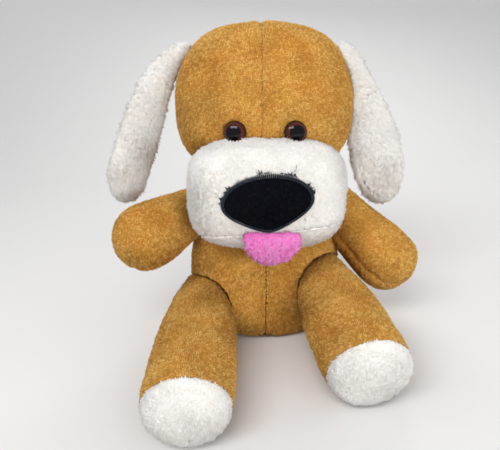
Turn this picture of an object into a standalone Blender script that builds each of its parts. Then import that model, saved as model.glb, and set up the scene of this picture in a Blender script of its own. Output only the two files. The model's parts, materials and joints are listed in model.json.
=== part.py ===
"""Hand puppet: a sitting plush puppy, worn on the hand through an opening low in its back.

Every sewn piece, stuffing and fitting is its own object. Lengths below are millimetres, turned
into metres where the meshes are made. +Z is up, the puppet faces -Y, and its own left is +X.
The origin lies on the flat seat, below the middle of the body.
"""
import math

import bmesh
import bpy
from mathutils import Matrix, Vector

MM = 0.001

# Cloth and clearances
PLUSH = 3.0            # brown short-pile plush, backing and pile together
FLEECE = 4.0           # cream long-pile fleece
GAP = 0.35             # between two sewn pieces that touch
LINING = 1.2           # cotton lining of the hand and finger pockets
TURN_GAP = 0.5         # between a round limb end and the socket it turns in

# Body: height, half width, half depth and middle (y) of its sections, from the top down
TORSO_SECTIONS = (
    (122.0, 0.0, 0.0, 4.0),
    (116.0, 31.0, 27.0, 4.0),
    (102.0, 48.0, 39.0, 2.0),
    (80.0, 61.0, 51.0, 0.0),
    (54.0, 66.0, 57.0, -1.0),
    (26.0, 63.0, 59.0, -2.5),
    (6.0, 54.0, 53.0, -3.0),
    (-6.0, 32.0, 31.0, -3.0),
    (-9.0, 0.0, 0.0, -3.0),
)
SEAT_PLATE = 3.0       # thickness of the flat bottom panel
LEAN = math.radians(5.4)    # body and head lean this far towards the puppet's own left
TURN = math.radians(-1.8)   # and face a little to its own right

# Neck
NECK = Vector((0.0, 2.0, 120.0))
NECK_ROLL = 28.0       # outer radius of the gathered neck ring
NECK_RING_HALF = 15.0  # half its height
NECK_BALL = 16.4       # outer radius of the ball on the finger sleeve
FINGER = 10.5          # radius of the finger passage
SLEEVE_WALL = 2.0
SLEEVE_DROP = 24.0     # how far the sleeve hangs below the neck's middle
SLEEVE_RISE = 10.0
FINGER_TIP = 88.0      # height of the head pocket's end above the neck's middle

# Head: same order as the body, then the muzzle from its front to its back
HEAD_SECTIONS = (
    (254.5, 0.0, 0.0, 15.0),
    (249.0, 39.0, 32.0, 15.0),
    (233.0, 60.5, 49.0, 14.0),
    (208.0, 73.0, 57.0, 13.0),
    (184.0, 75.0, 58.0, 12.0),
    (160.0, 71.0, 55.0, 11.0),
    (142.0, 56.0, 45.0, 10.0),
    (130.0, 26.0, 22.0, 9.0),
    (127.0, 0.0, 0.0, 9.0),
)
HEAD_X = -1.2          # the crown is stuffed a little to the puppet's right
CROWN_SEAM_X = -4.0
MUZZLE_SECTIONS = (
    (-82.0, 0.0, 0.0, 126.5),
    (-79.5, 41.0, 25.0, 126.5),
    (-71.0, 55.0, 37.0, 126.5),
    (-58.0, 60.0, 41.0, 127.5),
    (-44.0, 60.5, 39.5, 128.5),
    (-33.0, 52.0, 31.0, 132.0),
    (-28.0, 0.0, 0.0, 134.0),
)
MUZZLE_GAP = 0.42       # between the muzzle's back and the face
MUZZLE_SQUARE = 3.3    # 2 is an ellipse, more is squarer
MOUTH_Z = 105.0        # height of the mouth line at the middle
MOUTH_SLOPE = 0.10     # the mouth line climbs towards +X
LIP_LINING = 2.4       # cloth on the roof and on the floor of the mouth
JAW_BACK = -52.0       # y of the jaw's flat back, ahead of the throat
THROAT_BACK = -26.0    # where the slanted throat meets the neck
THROAT_TOP = 121.0

# Face
EYE_RADIUS = 9.0
EYE_DOME = 6.5
EYE_SPACING = 45.4
EYE_Z = 172.3
EYE_X = -1.5
EYE_Y = -44.6          # back of the dome, just proud of the plush
EYE_SINK = -0.8        # how far in front of the plush that back lies
SHANK = 2.4
SHANK_LENGTH = 13.0
WASHER_RADIUS = 8.0
WASHER_THICK = 1.6
WASHER_SINK = 2.3      # how much deeper than the flat of the cloth the washer pulls in
NOSE_WIDTH = 62.0
NOSE_TOP = 145.5
NOSE_BOTTOM = 108.0
NOSE_ROLL = math.radians(-6.0)
NOSE_SHOULDER = 17.5   # height of the upper, rounder part
NOSE_POINT = 0.45      # how much the lower part narrows
NOSE_X = -0.5
NOSE_PROUD = 3.6       # how far it stands out from the muzzle
STITCH_PROUD = 1.9
NOSE_BACK = -60.0      # nothing of the nose lies behind this
NOSE_SIDES = 28
STITCH = 2.6           # width of the stitched rim round the nose
TONGUE_X = 3.5
TONGUE_SECTIONS = (    # height, half width, half thickness, middle x and middle y
    (105.0, 0.0, 0.0, 0.0, -79.5),
    (104.2, 19.5, 1.5, 0.0, -80.5),
    (99.0, 21.0, 1.8, 0.0, -83.0),
    (91.0, 20.0, 1.8, 0.0, -82.5),
    (83.0, 15.0, 1.7, -1.0, -80.0),
    (78.5, 0.0, 0.0, -2.0, -78.5),
)

# Ears: height, half width, half thickness, middle x and middle y, for the +X ear
EAR_LEFT_SECTIONS = (
    (238.0, 0.0, 0.0, 61.5, 8.0),
    (233.0, 8.5, 4.0, 64.5, 8.0),
    (218.0, 11.5, 5.5, 70.5, 5.0),
    (192.0, 17.0, 6.0, 81.0, 1.0),
    (160.0, 21.5, 6.5, 91.0, -3.0),
    (130.0, 20.0, 6.0, 96.5, -5.0),
    (113.0, 12.0, 5.0, 99.0, -5.0),
    (107.0, 0.0, 0.0, 99.0, -5.0),
)
EAR_RIGHT_SECTIONS = (
    (238.0, 0.0, 0.0, -64.5, 8.0),
    (234.0, 9.0, 4.0, -69.8, 8.0),
    (219.0, 12.5, 5.5, -83.5, 5.0),
    (197.0, 16.0, 6.0, -95.0, 1.0),
    (165.0, 18.0, 6.5, -105.5, -3.0),
    (135.0, 18.0, 6.0, -116.0, -5.0),
    (114.0, 12.0, 5.0, -119.0, -5.0),
    (108.0, 0.0, 0.0, -119.0, -5.0),
)

EAR_LEFT_TWIST = math.radians(-8.0)
EAR_RIGHT_TWIST = math.radians(28.0)
EAR_TWIST_OVER = 45.0  # the twist grows over this much of the ear's top

# Arms: distance from the shoulder point and radius, then where each paw is
SHOULDER_LEFT = Vector((59.0, 2.0, 103.0))
SHOULDER_RIGHT = Vector((-60.5, 4.0, 98.0))
ARM_SECTIONS = (
    (-21.0, 0.0),
    (-18.0, 10.5),
    (-10.0, 18.2),
    (4.0, 21.0),
    (26.0, 23.0),
    (56.0, 26.5),
    (80.0, 22.5),
    (92.0, 0.0),
)
ARM_LEFT_LIFT = Vector((0.0, -0.7, 0.7))      # the way each paw goes when it is raised
ARM_RIGHT_LIFT = Vector((-0.35, 0.0, 1.0))
ARM_LEFT_SWING = (-1.0, 36.0)      # degrees of lowering and raising that the body clears
ARM_RIGHT_SWING = (-2.0, 31.0)
PAW_LEFT = Vector((112.0, -36.0, 54.8))
PAW_RIGHT = Vector((-99.0, -56.0, 90.5))
ARM_POCKET = 45.0      # depth of the finger pocket beyond the shoulder
POCKET = 8.0           # its radius

# Legs: distance from the hip point and radius
HIP_LEFT = Vector((51.0, -20.0, 42.0))
HIP_RIGHT = Vector((-52.0, -22.0, 32.0))
LEG_SECTIONS = (
    (-23.0, 0.0),
    (-19.0, 11.0),
    (-11.5, 18.5),
    (0.0, 22.5),
    (32.0, 26.5),
    (64.0, 29.5),
    (92.0, 30.0),
    (126.0, 29.5),
    (141.5, 24.0),
    (146.0, 0.0),
)
LEG_SWING = (-9.0, 13.0)           # degrees of lifting and lowering that the body clears
SWING_STEPS = 2
FOOT_LEFT = Vector((62.0, -137.0, 28.0))
FOOT_RIGHT = Vector((-54.5, -154.0, 28.0))
LEG_RIGHT_STRETCH = 13.0
LEG_LEFT_STRETCH = -5.0
LEG_FLAT = 0.94        # a leg is this much lower than it is wide
FOOT_CAP = 15.0        # length of the cream foot, from its seam to the toe
CAP_TILT = math.radians(12.0)    # the top of that seam lies this much further forward

# Hand cavity
PALM_HALF = 37.0
PALM_FRONT = -2.0
PALM_BACK = 34.0
PALM_FLOOR = 17.0
PALM_TOP = 92.0
WRIST_HALF = 34.0
WRIST_TOP = 56.0
PALM_ROUND = 8.0
PALM_LEAN = 17.0       # the front of the cavity is this much further back at the bottom
THUMB_START = 22.0
HEM = 3.0
SIDE_SEAM_Y = 6.0

# Mesh fineness
BODY_SIDES = 24
BODY_RINGS = 12
LIMB_SIDES = 16
LIMB_RINGS = 12
FLAP_SIDES = 12
FLAP_RINGS = 11
ROUND = 20             # sides of the round sockets and rings
BIG = 400.0            # reach of a cutter that must pass the whole puppet

PALETTE = {
    "plush": ((0.62, 0.34, 0.11), 0.9),
    "fleece": ((0.86, 0.80, 0.70), 0.9),
    "stuffing": ((0.90, 0.90, 0.88), 1.0),
    "lining": ((0.45, 0.28, 0.14), 0.85),
    "nose": ((0.012, 0.013, 0.02), 0.8),
    "thread": ((0.02, 0.025, 0.04), 0.5),
    "tongue": ((0.85, 0.30, 0.62), 0.85),
    "eye": ((0.10, 0.03, 0.015), 0.08),
    "washer": ((0.75, 0.76, 0.78), 0.4),
}


def curve_through(points, steps):
    """Evenly stepped points on a smooth curve through the given sections, pole to pole."""
    first = tuple([points[1][0]] + [-points[1][1], -points[1][2]] + list(points[1][3:]))
    last = tuple([points[-2][0]] + [-points[-2][1], -points[-2][2]] + list(points[-2][3:]))
    padded = [first] + list(points) + [last]
    spans = len(points) - 1
    out = []
    for step in range(steps + 1):
        place = step / steps * spans
        span = min(int(place), spans - 1)
        t = place - span
        p0, p1, p2, p3 = padded[span:span + 4]
        row = []
        for a, b, c, d in zip(p0, p1, p2, p3):
            row.append(0.5 * (2 * b + (c - a) * t + (2 * a - 5 * b + 4 * c - d) * t * t
                              + (3 * b - a - 3 * c + d) * t ** 3))
        out.append(row)
    return out


def swollen_form(sections, sides, rings, square=2.0):
    """Closed form through sections of (along, half width, half depth, shift x, shift y)."""
    rows = curve_through(sections, rings)
    bm = bmesh.new()
    bmesh.ops.create_uvsphere(bm, u_segments=sides, v_segments=rings, radius=1.0)
    for vert in bm.verts:
        ring = round(math.acos(max(-1.0, min(1.0, vert.co.z))) / math.pi * rings)
        along, half_w, half_d, shift_x, shift_y = rows[ring]
        if ring in (0, rings):
            half_w = half_d = 0.0
        angle = math.atan2(vert.co.y, vert.co.x)
        across = math.copysign(abs(math.cos(angle)) ** (2.0 / square), math.cos(angle))
        deep = math.copysign(abs(math.sin(angle)) ** (2.0 / square), math.sin(angle))
        vert.co = (shift_x + half_w * across, shift_y + half_d * deep, along)
    if sections[0][0] < sections[-1][0]:
        bmesh.ops.reverse_faces(bm, faces=bm.faces[:])
    return bm


def shrink(bm, inset):
    """Move every point inwards along its normal by the same wall."""
    bm.normal_update()
    moves = [(vert, vert.normal * inset * vert.calc_shell_factor()) for vert in bm.verts]
    for vert, move in moves:
        vert.co -= move


def material(name):
    """Principled material of the palette, made once."""
    if name in bpy.data.materials:
        return bpy.data.materials[name]
    colour, roughness = PALETTE[name]
    made = bpy.data.materials.new(name)
    made.use_nodes = True
    shader = made.node_tree.nodes["Principled BSDF"]
    shader.inputs["Base Color"].default_value = (*colour, 1.0)
    shader.inputs["Roughness"].default_value = roughness
    shader.inputs["Metallic"].default_value = 0.0
    return made


def add_object(name, bm, finish=None):
    """Turn a bmesh in millimetres into an object in metres."""
    bmesh.ops.recalc_face_normals(bm, faces=bm.faces[:])
    bmesh.ops.transform(bm, matrix=Matrix.Scale(MM, 4), verts=bm.verts[:])
    mesh = bpy.data.meshes.new(name)
    bm.to_mesh(mesh)
    bm.free()
    mesh.shade_smooth()
    made = bpy.data.objects.new(name, mesh)
    bpy.context.scene.collection.objects.link(made)
    if finish:
        own = material(finish).copy()
        own.name = name + "_" + finish
        mesh.materials.append(own)
    else:
        made.hide_render = True
        made.display_type = "WIRE"
    return made


def thicken(target, wall):
    """Give a closed surface an inner wall, measured inwards."""
    shell = target.modifiers.new("wall", "SOLIDIFY")
    shell.thickness = wall * MM
    shell.offset = -1.0
    shell.use_even_offset = True
    return target


def cut(target, *cutters):
    """Take each cutter's space out of the target."""
    for cutter in cutters:
        step = target.modifiers.new("cut_" + cutter.name, "BOOLEAN")
        step.operation = "DIFFERENCE"
        step.solver = "EXACT"
        step.object = cutter
    return target


def keep(target, *keepers):
    """Keep only what lies inside each keeper."""
    for keeper in keepers:
        step = target.modifiers.new("keep_" + keeper.name, "BOOLEAN")
        step.operation = "INTERSECT"
        step.solver = "EXACT"
        step.object = keeper
    return target


def box_cutter(name, low, high):
    """Cutter box between two corners."""
    bm = bmesh.new()
    bmesh.ops.create_cube(bm, size=1.0)
    size = [b - a for a, b in zip(low, high)]
    middle = [(a + b) / 2 for a, b in zip(low, high)]
    bmesh.ops.transform(bm, matrix=Matrix.Translation(middle) @ Matrix.Diagonal((*size, 1.0)),
                        verts=bm.verts[:])
    return add_object(name, bm)


def rod(bm, start, end, radius, sides=14):
    """Add a round rod between two points to a bmesh."""
    start, end = Vector(start), Vector(end)
    way = end - start
    turn = way.to_track_quat("Z", "Y").to_matrix().to_4x4()
    bmesh.ops.create_cone(bm, cap_ends=True, segments=sides, radius1=radius, radius2=radius,
                          depth=way.length, matrix=Matrix.Translation((start + end) / 2) @ turn)


def rod_cutter(name, start, end, radius, sides=14):
    """Cutter rod between two points."""
    bm = bmesh.new()
    rod(bm, start, end, radius, sides)
    return add_object(name, bm)


def spun(profile, axis, centre, steps):
    """Solid of revolution of an (along, radius) profile: a ring, or closed by its two poles."""
    bm = bmesh.new()
    points = [bm.verts.new((radius, 0.0, along)) for along, radius in profile]
    edges = [bm.edges.new((a, b)) for a, b in zip(points, points[1:])]
    if profile[0][1] > 0.0:
        edges.append(bm.edges.new((points[-1], points[0])))
    bmesh.ops.spin(bm, geom=points + edges, cent=(0, 0, 0), axis=(0, 0, 1), steps=steps,
                   angle=math.tau, use_merge=True)
    bmesh.ops.remove_doubles(bm, verts=bm.verts[:], dist=0.001)
    turn = Vector(axis).to_track_quat("Z", "Y").to_matrix().to_4x4()
    bmesh.ops.transform(bm, matrix=Matrix.Translation(centre) @ turn, verts=bm.verts[:])
    return bm


def side_sections(sections):
    """Give limb or body sections their missing shifts, in the order swollen_form reads."""
    out = []
    for row in sections:
        if len(row) == 2:
            out.append((row[0], row[1], row[1], 0.0, 0.0))
        elif len(row) == 4:
            out.append((row[0], row[1], row[2], 0.0, row[3]))
        else:
            out.append(row)
    return out


def torso_form(inset=0.0):
    """The body's outer shape, or the same shape further in."""
    bm = swollen_form(side_sections(TORSO_SECTIONS), BODY_SIDES, BODY_RINGS, 2.15)
    if inset:
        shrink(bm, inset)
    return bm


def head_form(inset=0.0):
    """The head's outer shape, or the same shape further in or out."""
    bm = swollen_form(side_sections(HEAD_SECTIONS), BODY_SIDES, BODY_RINGS, 2.15)
    bmesh.ops.translate(bm, verts=bm.verts[:], vec=(HEAD_X, 0.0, 0.0))
    if inset:
        shrink(bm, inset)
    return bm


def muzzle_form(inset=0.0):
    """The muzzle's outer shape: sections along Y, squarer than the body."""
    rows = [(along, w, d, 0.0, z) for along, w, d, z in MUZZLE_SECTIONS]
    bm = swollen_form(rows, BODY_SIDES, 12, MUZZLE_SQUARE)
    for vert in bm.verts:
        vert.co = (vert.co.x, vert.co.z, vert.co.y)
    bmesh.ops.reverse_faces(bm, faces=bm.faces[:])
    if inset:
        shrink(bm, inset)
    return bm


def mouth_height(x):
    """Height of the mouth line at a place across the muzzle."""
    return MOUTH_Z + MOUTH_SLOPE * x


def mouth_cutter(name, above, lift):
    """Cutter for all that lies above, or below, the slanted mouth line moved by the lift."""
    bm = bmesh.new()
    bmesh.ops.create_cube(bm, size=1.0)
    for vert in bm.verts:
        x = math.copysign(BIG / 2, vert.co.x)
        far = BIG if above else -BIG
        z = far if (vert.co.z > 0) == above else mouth_height(x) + lift
        vert.co = (x, math.copysign(BIG, vert.co.y), z)
    return add_object(name, bm)


def limb_form(sections, base, tip, stretch=0.0, inset=0.0, flat=1.0):
    """A limb from its pivot towards its tip, longer by the stretch beyond the pivot."""
    rows = []
    reach = sections[-1][0]
    for along, radius in sections:
        longer = along + stretch * max(0.0, along) / reach
        rows.append((longer, radius, radius * flat, 0.0, 0.0))
    bm = swollen_form(rows, LIMB_SIDES, LIMB_RINGS, 2.0)
    turn = (tip - base).to_track_quat("Z", "Y").to_matrix().to_4x4()
    bmesh.ops.transform(bm, matrix=Matrix.Translation(base) @ turn, verts=bm.verts[:])
    if inset:
        shrink(bm, inset)
    return bm


def raise_axis(shoulder, paw, lift):
    """Axis that an arm turns about when its paw goes the way of the lift."""
    return (paw - shoulder).cross(lift).normalized()


def slab_cutter(name, **limits):
    """Cutter box that reaches past the puppet except where a limit is given."""
    low = [limits.get(axis + "_from", -BIG) for axis in "xyz"]
    high = [limits.get(axis + "_to", BIG) for axis in "xyz"]
    return box_cutter(name, low, high)


def rounded_box(low, high, radius):
    """Box with round edges between two corners."""
    bm = bmesh.new()
    bmesh.ops.create_cube(bm, size=1.0)
    size = [b - a for a, b in zip(low, high)]
    middle = [(a + b) / 2 for a, b in zip(low, high)]
    bmesh.ops.transform(bm, matrix=Matrix.Translation(middle) @ Matrix.Diagonal((*size, 1.0)),
                        verts=bm.verts[:])
    bmesh.ops.bevel(bm, geom=bm.edges[:], offset=radius, offset_type="OFFSET", segments=2,
                    profile=0.5, affect="EDGES", material=-1)
    return bm


def palm_box(grow):
    """The hand cavity, grown on all sides, with its front wall leaning back over the hips."""
    low = (-PALM_HALF - grow, PALM_FRONT - grow, PALM_FLOOR - grow)
    high = (PALM_HALF + grow, PALM_BACK + grow, PALM_TOP + grow)
    bm = rounded_box(low, high, PALM_ROUND + grow)
    for vert in bm.verts:
        if vert.co.y < (PALM_FRONT + PALM_BACK) / 2:
            vert.co.y += PALM_LEAN * (PALM_TOP - vert.co.z) / (PALM_TOP - PALM_FLOOR)
    return bm


def socket_cutter(name, centre, ball):
    """Round cutter that clears a ball of the given radius, flats of its faces included."""
    radius = (ball + TURN_GAP) / math.cos(math.pi / ROUND)
    bm = bmesh.new()
    turn = Matrix.Rotation(math.pi / 2, 4, "Y")
    bmesh.ops.create_uvsphere(bm, u_segments=ROUND, v_segments=ROUND // 2, radius=radius,
                              matrix=Matrix.Translation(centre) @ turn)
    return add_object(name, bm)


def swing_room(name, sections, base, tip, swing, stretch=0.0, flat=1.0):
    """Convex cutter that clears a limb over its whole swing, given in degrees about an axis."""
    axis, low, high = swing
    bm = bmesh.new()
    limb = limb_form(sections, base, tip, stretch, -TURN_GAP, flat)
    for step in range(SWING_STEPS + 1):
        turn = Matrix.Rotation(math.radians(low + (high - low) * step / SWING_STEPS), 3, axis)
        for vert in limb.verts:
            bm.verts.new(base + turn @ (vert.co - base))
    limb.free()
    hull = bmesh.ops.convex_hull(bm, input=bm.verts[:])
    spare = [item for item in hull["geom_interior"] + hull["geom_unused"]
             if isinstance(item, bmesh.types.BMVert)]
    bmesh.ops.delete(bm, geom=list(set(spare)), context="VERTS")
    bmesh.ops.dissolve_degenerate(bm, dist=0.05, edges=bm.edges[:])
    return add_object(name, bm)


def throat_cutter():
    """Wedge that keeps the upper muzzle clear of the chest."""
    bm = bmesh.new()
    profile = ((JAW_BACK - 2.0, 0.0), (JAW_BACK - 2.0, MOUTH_Z - 5.0), (THROAT_BACK, THROAT_TOP),
               (BIG, THROAT_TOP), (BIG, 0.0))
    corners = [bm.verts.new((-BIG / 2, y, z)) for y, z in profile]
    face = bm.faces.new(corners)
    grown = bmesh.ops.extrude_face_region(bm, geom=[face])
    moved = [item for item in grown["geom"] if isinstance(item, bmesh.types.BMVert)]
    bmesh.ops.translate(bm, verts=moved, vec=(BIG, 0.0, 0.0))
    return add_object("throat_room", bm)


def build_torso(sockets, below_floor, above_seat, seat_room):
    """Body cover in three panels, flat seat, two cushions of stuffing, hand lining and hem."""
    hem_hole = box_cutter("hem_hole", (-WRIST_HALF - GAP, PALM_BACK - HEM, PALM_FLOOR - GAP),
                          (WRIST_HALF + GAP, BIG, WRIST_TOP + GAP))
    behind_seam = slab_cutter("behind_seam", y_from=SIDE_SEAM_Y - GAP / 2)
    before_seam = slab_cutter("before_seam", y_to=SIDE_SEAM_Y + GAP / 2)
    panels = (
        ("torso_front_left", (slab_cutter("right_of_seam", x_to=GAP / 2), behind_seam)),
        ("torso_front_right", (slab_cutter("left_of_seam", x_from=-GAP / 2), behind_seam)),
        ("torso_back_panel", (before_seam, hem_hole)),
    )
    for name, away in panels:
        panel = thicken(add_object(name, torso_form(), "plush"), PLUSH)
        cut(panel, seat_room, *away, *sockets)
    seat = add_object("seat_panel", torso_form(), "plush")
    cut(seat, below_floor, above_seat)

    palm_room = add_object("palm_room", palm_box(GAP))
    sleeve_outer = FINGER + SLEEVE_WALL + GAP
    finger_way = rod_cutter("finger_way", (0.0, NECK.y, PALM_TOP - PALM_ROUND), NECK, sleeve_outer)
    thumb_ways = []
    for side, label, shoulder in ((1, "left", SHOULDER_LEFT), (-1, "right", SHOULDER_RIGHT)):
        start = (side * THUMB_START, NECK.y + POCKET, PALM_TOP - POCKET)
        thumb_ways.append(rod_cutter("thumb_way_" + label, start, shoulder, POCKET + GAP))
    for label, far_half in (("left", slab_cutter("far_right", x_to=GAP / 2)),
                            ("right", slab_cutter("far_left", x_from=-GAP / 2))):
        cushion = add_object("torso_stuffing_" + label, torso_form(PLUSH + GAP), "stuffing")
        cut(cushion, seat_room, *sockets, palm_room, hem_hole, finger_way, *thumb_ways, far_half)

    lining = add_object("hand_lining", palm_box(0.0), "lining")
    wrist_room = box_cutter("wrist_room", (-WRIST_HALF + HEM, PALM_BACK - PALM_ROUND, PALM_FLOOR + HEM),
                            (WRIST_HALF - HEM, BIG, WRIST_TOP - HEM))
    cut(thicken(lining, LINING), wrist_room, finger_way, *thumb_ways)

    hem = add_object("opening_hem", torso_form(), "lining")
    hem_block = box_cutter("hem_block", (-WRIST_HALF, PALM_BACK + GAP, PALM_FLOOR),
                           (WRIST_HALF, BIG, WRIST_TOP))
    keep(hem, hem_block)
    cut(hem, wrist_room)


def build_neck():
    """Finger sleeve with its ball, and the gathered ring the head sits on."""
    outer = FINGER + SLEEVE_WALL
    profile = [(-SLEEVE_DROP, FINGER), (-SLEEVE_DROP, outer)]
    for step in range(7):
        z = -SLEEVE_RISE + 2.0 * SLEEVE_RISE * step / 6
        profile.append((z, math.sqrt(NECK_BALL ** 2 - z * z)))
    profile.append((SLEEVE_RISE, FINGER))
    add_object("neck_sleeve", spun(profile, (0, 0, 1), NECK, ROUND), "lining")
    inner = NECK_BALL + GAP
    ring = [(-NECK_RING_HALF, inner)]
    for step in range(7):
        z = -NECK_RING_HALF + 2.0 * NECK_RING_HALF * step / 6
        ring.append((z, math.sqrt(NECK_ROLL ** 2 - z * z)))
    ring.append((NECK_RING_HALF, inner))
    add_object("neck_gather", spun(ring, (0, 0, 1), NECK, ROUND), "plush")


def eye_place(side):
    """Where an eye's back rests on the head, and the way it looks."""
    seat = Vector((EYE_X + side * EYE_SPACING / 2, EYE_Y, EYE_Z))
    return seat, Vector((side * 0.22, -1.0, 0.10)).normalized()


def build_head(neck_socket):
    """Two cover halves, the stuffing, the finger pocket, and the eyes with their washers."""
    eye_cutters = []
    for side, label in ((1, "left"), (-1, "right")):
        seat, look = eye_place(side)
        back = seat - look * SHANK_LENGTH
        profile = [(-SHANK_LENGTH, 0.0), (-SHANK_LENGTH, SHANK), (0.0, SHANK), (0.0, EYE_RADIUS - 0.6),
                   (0.8, EYE_RADIUS)]
        for step in range(1, 5):
            turn = step / 5 * math.pi / 2
            profile.append((0.8 + (EYE_DOME - 0.8) * math.sin(turn), EYE_RADIUS * math.cos(turn)))
        profile.append((EYE_DOME, 0.0))
        add_object("eye_" + label, spun(profile, look, seat, 18), "eye")
        washer_front = EYE_SINK - PLUSH - 2 * GAP - WASHER_SINK
        washer = [(washer_front - WASHER_THICK, SHANK + GAP), (washer_front - WASHER_THICK, WASHER_RADIUS),
                  (washer_front, WASHER_RADIUS), (washer_front, SHANK + GAP)]
        add_object("eye_washer_" + label, spun(washer, look, seat, 16), "washer")
        eye_cutters.append(rod_cutter("shank_way_" + label, back - look, seat + look * 4.0,
                                      SHANK + GAP))
        eye_cutters.append(rod_cutter(
            "washer_room_" + label, seat + look * (washer_front - WASHER_THICK - GAP),
            seat + look * (washer_front + GAP + 0.2), WASHER_RADIUS + GAP, 20))
    shanks = eye_cutters[0::2]
    halves = (("head_cover_left", slab_cutter("right_of_crown", x_to=CROWN_SEAM_X + GAP / 2)),
              ("head_cover_right", slab_cutter("left_of_crown", x_from=CROWN_SEAM_X - GAP / 2)))
    for (name, away), shank in zip(halves, shanks):
        half = thicken(add_object(name, head_form(), "plush"), PLUSH)
        cut(half, away, neck_socket, shank)
    pocket_outer = FINGER + LINING
    pocket_way = rod_cutter("pocket_way", NECK, NECK + Vector((0, 0, FINGER_TIP + GAP)),
                            pocket_outer + GAP, ROUND)
    stuffing = add_object("head_stuffing", head_form(PLUSH + GAP), "stuffing")
    cut(stuffing, neck_socket, pocket_way, *eye_cutters)
    start = math.sqrt((NECK_ROLL + TURN_GAP) ** 2 - FINGER ** 2) + 1.5
    profile = pocket_profile(start, FINGER_TIP, FINGER)
    add_object("head_finger_pocket", spun(profile, (0, 0, 1), NECK, ROUND), "lining")


def pocket_profile(start, end, radius):
    """Profile of a cloth tube, open at its start and closed at its end."""
    outer = radius + LINING
    return [(end - LINING, 0.0), (end - LINING, radius), (start, radius), (start, outer),
            (end - LINING, outer), (end, radius), (end, 0.0)]


def build_muzzle():
    """Upper lip over the mouth line, jaw below it, and the lining on both."""
    head_zone = add_object("head_zone", head_form(-MUZZLE_GAP))
    eye_rooms = []
    for side, label in ((1, "left"), (-1, "right")):
        seat, look = eye_place(side)
        eye_rooms.append(rod_cutter("eye_room_" + label, seat - look * 7.0, seat + look * 12.0,
                                    EYE_RADIUS + GAP, 18))
    throat = throat_cutter()
    roof = LIP_LINING + GAP
    lower_lip = mouth_cutter("lower_lip_room", False, GAP / 2)
    below_roof = mouth_cutter("below_roof_room", False, GAP / 2 + roof)
    above_roof = mouth_cutter("above_roof_room", True, GAP / 2 + LIP_LINING)
    upper_lip = mouth_cutter("upper_lip_room", True, -GAP / 2)
    above_floor = mouth_cutter("above_floor_room", True, -GAP / 2 - roof)
    below_floor = mouth_cutter("below_floor_room", False, -GAP / 2 - LIP_LINING)
    core = FLEECE + GAP
    cover = thicken(add_object("muzzle_cover", muzzle_form(), "fleece"), FLEECE)
    cut(cover, below_roof, throat, head_zone, *eye_rooms)
    cut(add_object("muzzle_stuffing", muzzle_form(core), "stuffing"), below_roof, throat, head_zone,
        *eye_rooms)
    cut(add_object("mouth_roof", muzzle_form(), "fleece"), lower_lip, above_roof, throat, head_zone)
    jaw = thicken(add_object("jaw_cover", muzzle_form(), "fleece"), FLEECE)
    behind_jaw = slab_cutter("behind_jaw", y_from=JAW_BACK)
    cut(jaw, above_floor, behind_jaw)
    cut(add_object("jaw_stuffing", muzzle_form(core), "stuffing"), above_floor, behind_jaw)
    cut(add_object("mouth_floor", muzzle_form(), "fleece"), upper_lip, below_floor, behind_jaw)
    return lower_lip


def nose_prism(name, grow):
    """The nose's outline, wide at the top and pointed below, as a prism along Y."""
    bm = bmesh.new()
    middle = NOSE_TOP - NOSE_SHOULDER
    corners = []
    for step in range(NOSE_SIDES):
        angle = math.tau * step / NOSE_SIDES
        across, up = math.cos(angle), math.sin(angle)
        taper = 1.0 if up > 0 else 1.0 - NOSE_POINT * up * up
        height = (NOSE_SHOULDER if up > 0 else middle - NOSE_BOTTOM) + grow
        corners.append(bm.verts.new(((NOSE_WIDTH / 2 + grow) * across * taper, 0.0, height * up)))
    face = bm.faces.new(corners)
    grown = bmesh.ops.extrude_face_region(bm, geom=[face])
    moved = [item for item in grown["geom"] if isinstance(item, bmesh.types.BMVert)]
    bmesh.ops.translate(bm, verts=moved, vec=(0.0, -120.0, 0.0))
    place = Matrix.Translation((NOSE_X, 0.0, middle)) @ Matrix.Rotation(NOSE_ROLL, 4, "Y")
    bmesh.ops.transform(bm, matrix=place, verts=bm.verts[:])
    return add_object(name, bm)


def build_nose(upper_only):
    """Black nose and the satin-stitched rim that holds it."""
    muzzle_zone = add_object("muzzle_zone", muzzle_form(-GAP))
    behind = slab_cutter("behind_nose", y_from=NOSE_BACK)
    patch = add_object("nose_patch", muzzle_form(-NOSE_PROUD), "nose")
    cut(keep(patch, nose_prism("nose_outline", 0.0)), muzzle_zone, behind)
    rim = add_object("nose_stitching", muzzle_form(-STITCH_PROUD), "thread")
    keep(rim, nose_prism("rim_outline", STITCH))
    cut(rim, nose_prism("nose_room", GAP), muzzle_zone, behind, upper_only)
    return muzzle_zone


def build_tongue(muzzle_zone):
    """Soft flap that hangs from the mouth line over the chin."""
    bm = swollen_form(TONGUE_SECTIONS, FLAP_SIDES, FLAP_RINGS, 2.6)
    bmesh.ops.translate(bm, verts=bm.verts[:], vec=(TONGUE_X, 0.0, 0.0))
    cut(add_object("tongue", bm, "tongue"), muzzle_zone)


def build_ears():
    """Two flaps, each a front and a back panel, cut clear of the head."""
    clear = add_object("ear_room", head_form(-2 * GAP))
    for label, sections, twist in (("left", EAR_LEFT_SECTIONS, EAR_LEFT_TWIST),
                                   ("right", EAR_RIGHT_SECTIONS, EAR_RIGHT_TWIST)):
        for face, outward in (("front", -1.0), ("back", 1.0)):
            cut(add_object("ear_{}_{}".format(label, face),
                           ear_panel(sections, twist, outward), "fleece"), clear)


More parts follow.
